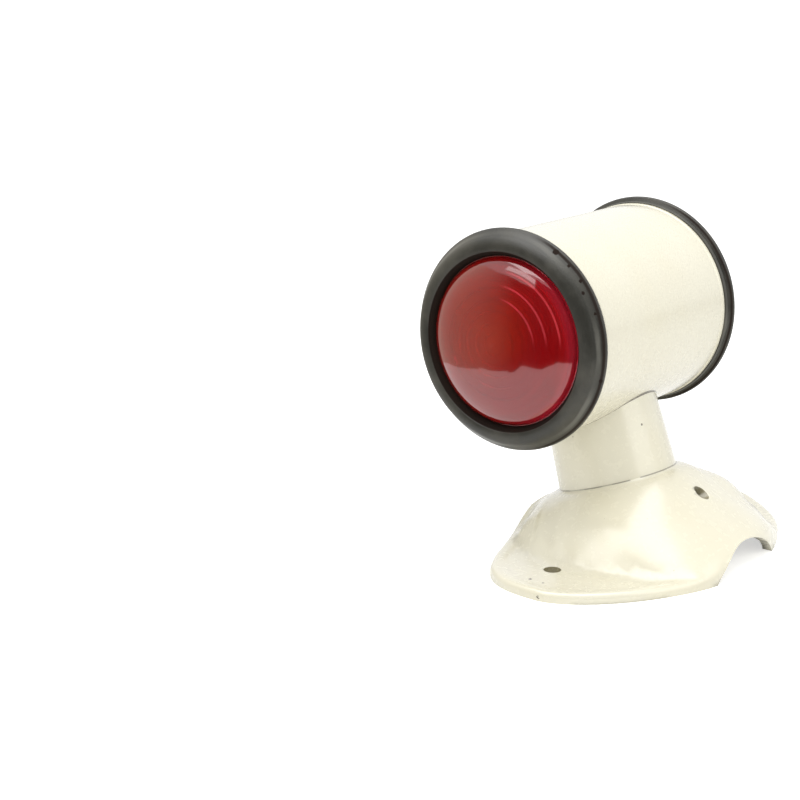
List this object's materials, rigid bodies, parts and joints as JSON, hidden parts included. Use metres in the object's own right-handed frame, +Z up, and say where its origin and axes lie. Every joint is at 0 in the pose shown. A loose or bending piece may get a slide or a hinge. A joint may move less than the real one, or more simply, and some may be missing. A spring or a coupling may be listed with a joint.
{
  "type": "tractor fender light",
  "caption": "Double-faced tractor fender light: domed red and amber lenses in rubber rings on a round painted housing, on a leaning neck that swivels on a hollow cast base.",
  "frame": {"origin": "midway between the two mounting holes, on the plane the base stands on", "axes": "+Z up, away from the fender; +Y along the housing from the red lens to the amber lens and along the line of the mounting holes; +X towards the high side of the base, away from the side the neck leans to"},
  "size_m": [0.1642, 0.21, 0.1727],
  "materials": {
    "cream_paint": "gloss",
    "worn_steel": "dull, worn",
    "zinc_steel": "zinc plated",
    "spring_steel": "plain",
    "filament_metal": "dull",
    "black_rubber": "satin",
    "bright_aluminium": "bright",
    "brass": "satin",
    "brown_laminate": "matt",
    "red_glass": "gloss, deep red",
    "amber_glass": "gloss, amber",
    "clear_glass": "gloss, clear"
  },
  "bodies": {
    "base": {"base_casting": "cream_paint", "swivel_set_screw": "worn_steel"},
    "head": {"neck_casting": "cream_paint", "wire_grommet": "black_rubber", "housing_shell": "cream_paint", "neck_screws": "zinc_steel", "neck_lock_washers": "zinc_steel", "bulb_bracket": "zinc_steel", "socket_rivets": "zinc_steel", "red_lens": "red_glass", "red_bezel_ring": "black_rubber", "red_reflector": "bright_aluminium", "red_socket": "brass", "red_contact_spring": "spring_steel", "amber_lens": "amber_glass", "amber_bezel_ring": "black_rubber", "amber_reflector": "bright_aluminium", "amber_socket": "brass", "amber_contact_spring": "spring_steel"},
    "red_bulb": {"red_bulb_cap": "brass", "red_bulb_glass": "clear_glass", "red_filament": "filament_metal"},
    "red_plunger": {"red_contact_disc": "brown_laminate", "red_contact": "brass"},
    "amber_bulb": {"amber_bulb_cap": "brass", "amber_bulb_glass": "clear_glass", "amber_filament": "filament_metal"},
    "amber_plunger": {"amber_contact_disc": "brown_laminate", "amber_contact": "brass"}
  },
  "joints": [
    {"name": "head_swivel", "type": "hinge", "parent": "base", "child": "head", "pos_m": [0.002, 0.002, 0], "axis": [-0.304, 0, 0.9527], "range_deg": [-45, 45]},
    {"name": "red_bulb_push", "type": "slide", "parent": "head", "child": "red_bulb", "axis": [0, 1, 0], "range_m": [0, 0.002], "stiffness_N_per_m": 1200, "springref_m": -0.004},
    {"name": "red_contact_push", "type": "slide", "parent": "head", "child": "red_plunger", "axis": [0, 1, 0], "range_m": [0, 0.002], "deforming": ["red_contact_spring"]},
    {"name": "amber_bulb_push", "type": "slide", "parent": "head", "child": "amber_bulb", "axis": [0, -1, 0], "range_m": [0, 0.002], "stiffness_N_per_m": 1200, "springref_m": -0.004},
    {"name": "amber_contact_push", "type": "slide", "parent": "head", "child": "amber_plunger", "axis": [0, -1, 0], "range_m": [0, 0.002], "deforming": ["amber_contact_spring"]}
  ],
  "couplings": [
    {"joint": "red_contact_push", "follows": "red_bulb_push", "ratio": 1},
    {"joint": "amber_contact_push", "follows": "amber_bulb_push", "ratio": 1}
  ]
}
